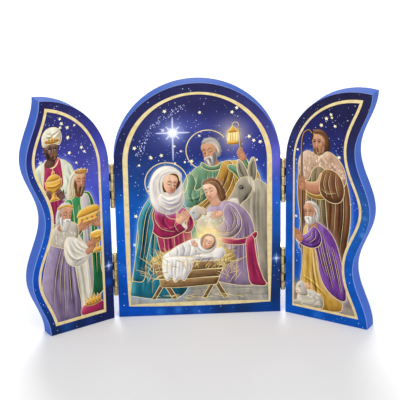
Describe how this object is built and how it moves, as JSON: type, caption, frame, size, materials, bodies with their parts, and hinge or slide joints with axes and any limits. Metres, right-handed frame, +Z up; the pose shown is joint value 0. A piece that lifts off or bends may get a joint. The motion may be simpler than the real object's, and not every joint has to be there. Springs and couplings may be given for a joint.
{
  "type": "triptych altarpiece",
  "caption": "Small folding triptych: round-headed centre board and two waved wings on brass butt hinges, with printed picture sheets on the front faces.",
  "frame": {"origin": "middle of the centre board's underside", "axes": "+Z up; +X to the viewer's right along the centre board; the pictures face -Y"},
  "size_m": [0.1888, 0.0345, 0.137],
  "materials": {
    "painted_board": "satin periwinkle-blue paint on fine-grained board",
    "printed_sheet": "printed card under a satin laminate, with gold foil lines",
    "hinge_brass": "bright rolled brass"
  },
  "bodies": {
    "centre": {"centre_board": "painted_board", "centre_print": "printed_sheet", "left_lower_hinge_centre_leaf": "hinge_brass", "left_lower_hinge_pin": "hinge_brass", "left_lower_hinge_centre_nail_1": "hinge_brass", "left_lower_hinge_centre_nail_2": "hinge_brass", "left_upper_hinge_centre_leaf": "hinge_brass", "left_upper_hinge_pin": "hinge_brass", "left_upper_hinge_centre_nail_1": "hinge_brass", "left_upper_hinge_centre_nail_2": "hinge_brass", "right_lower_hinge_centre_leaf": "hinge_brass", "right_lower_hinge_pin": "hinge_brass", "right_lower_hinge_centre_nail_1": "hinge_brass", "right_lower_hinge_centre_nail_2": "hinge_brass", "right_upper_hinge_centre_leaf": "hinge_brass", "right_upper_hinge_pin": "hinge_brass", "right_upper_hinge_centre_nail_1": "hinge_brass", "right_upper_hinge_centre_nail_2": "hinge_brass"},
    "left_wing": {"left_board": "painted_board", "left_print": "printed_sheet", "left_lower_hinge_wing_leaf": "hinge_brass", "left_lower_hinge_wing_nail_1": "hinge_brass", "left_lower_hinge_wing_nail_2": "hinge_brass", "left_upper_hinge_wing_leaf": "hinge_brass", "left_upper_hinge_wing_nail_1": "hinge_brass", "left_upper_hinge_wing_nail_2": "hinge_brass"},
    "right_wing": {"right_board": "painted_board", "right_print": "printed_sheet", "right_lower_hinge_wing_leaf": "hinge_brass", "right_lower_hinge_wing_nail_1": "hinge_brass", "right_lower_hinge_wing_nail_2": "hinge_brass", "right_upper_hinge_wing_leaf": "hinge_brass", "right_upper_hinge_wing_nail_1": "hinge_brass", "right_upper_hinge_wing_nail_2": "hinge_brass"}
  },
  "joints": [
    {"name": "left_hinge", "type": "hinge", "parent": "centre", "child": "left_wing", "pos_m": [-0.0462, -0.00485, 0.053], "axis": [0, 0, 1], "range_deg": [-29.3, 150.7]},
    {"name": "right_hinge", "type": "hinge", "parent": "centre", "child": "right_wing", "pos_m": [0.0462, -0.00485, 0.053], "axis": [0, 0, -1], "range_deg": [-30.9, 149.1]}
  ]
}
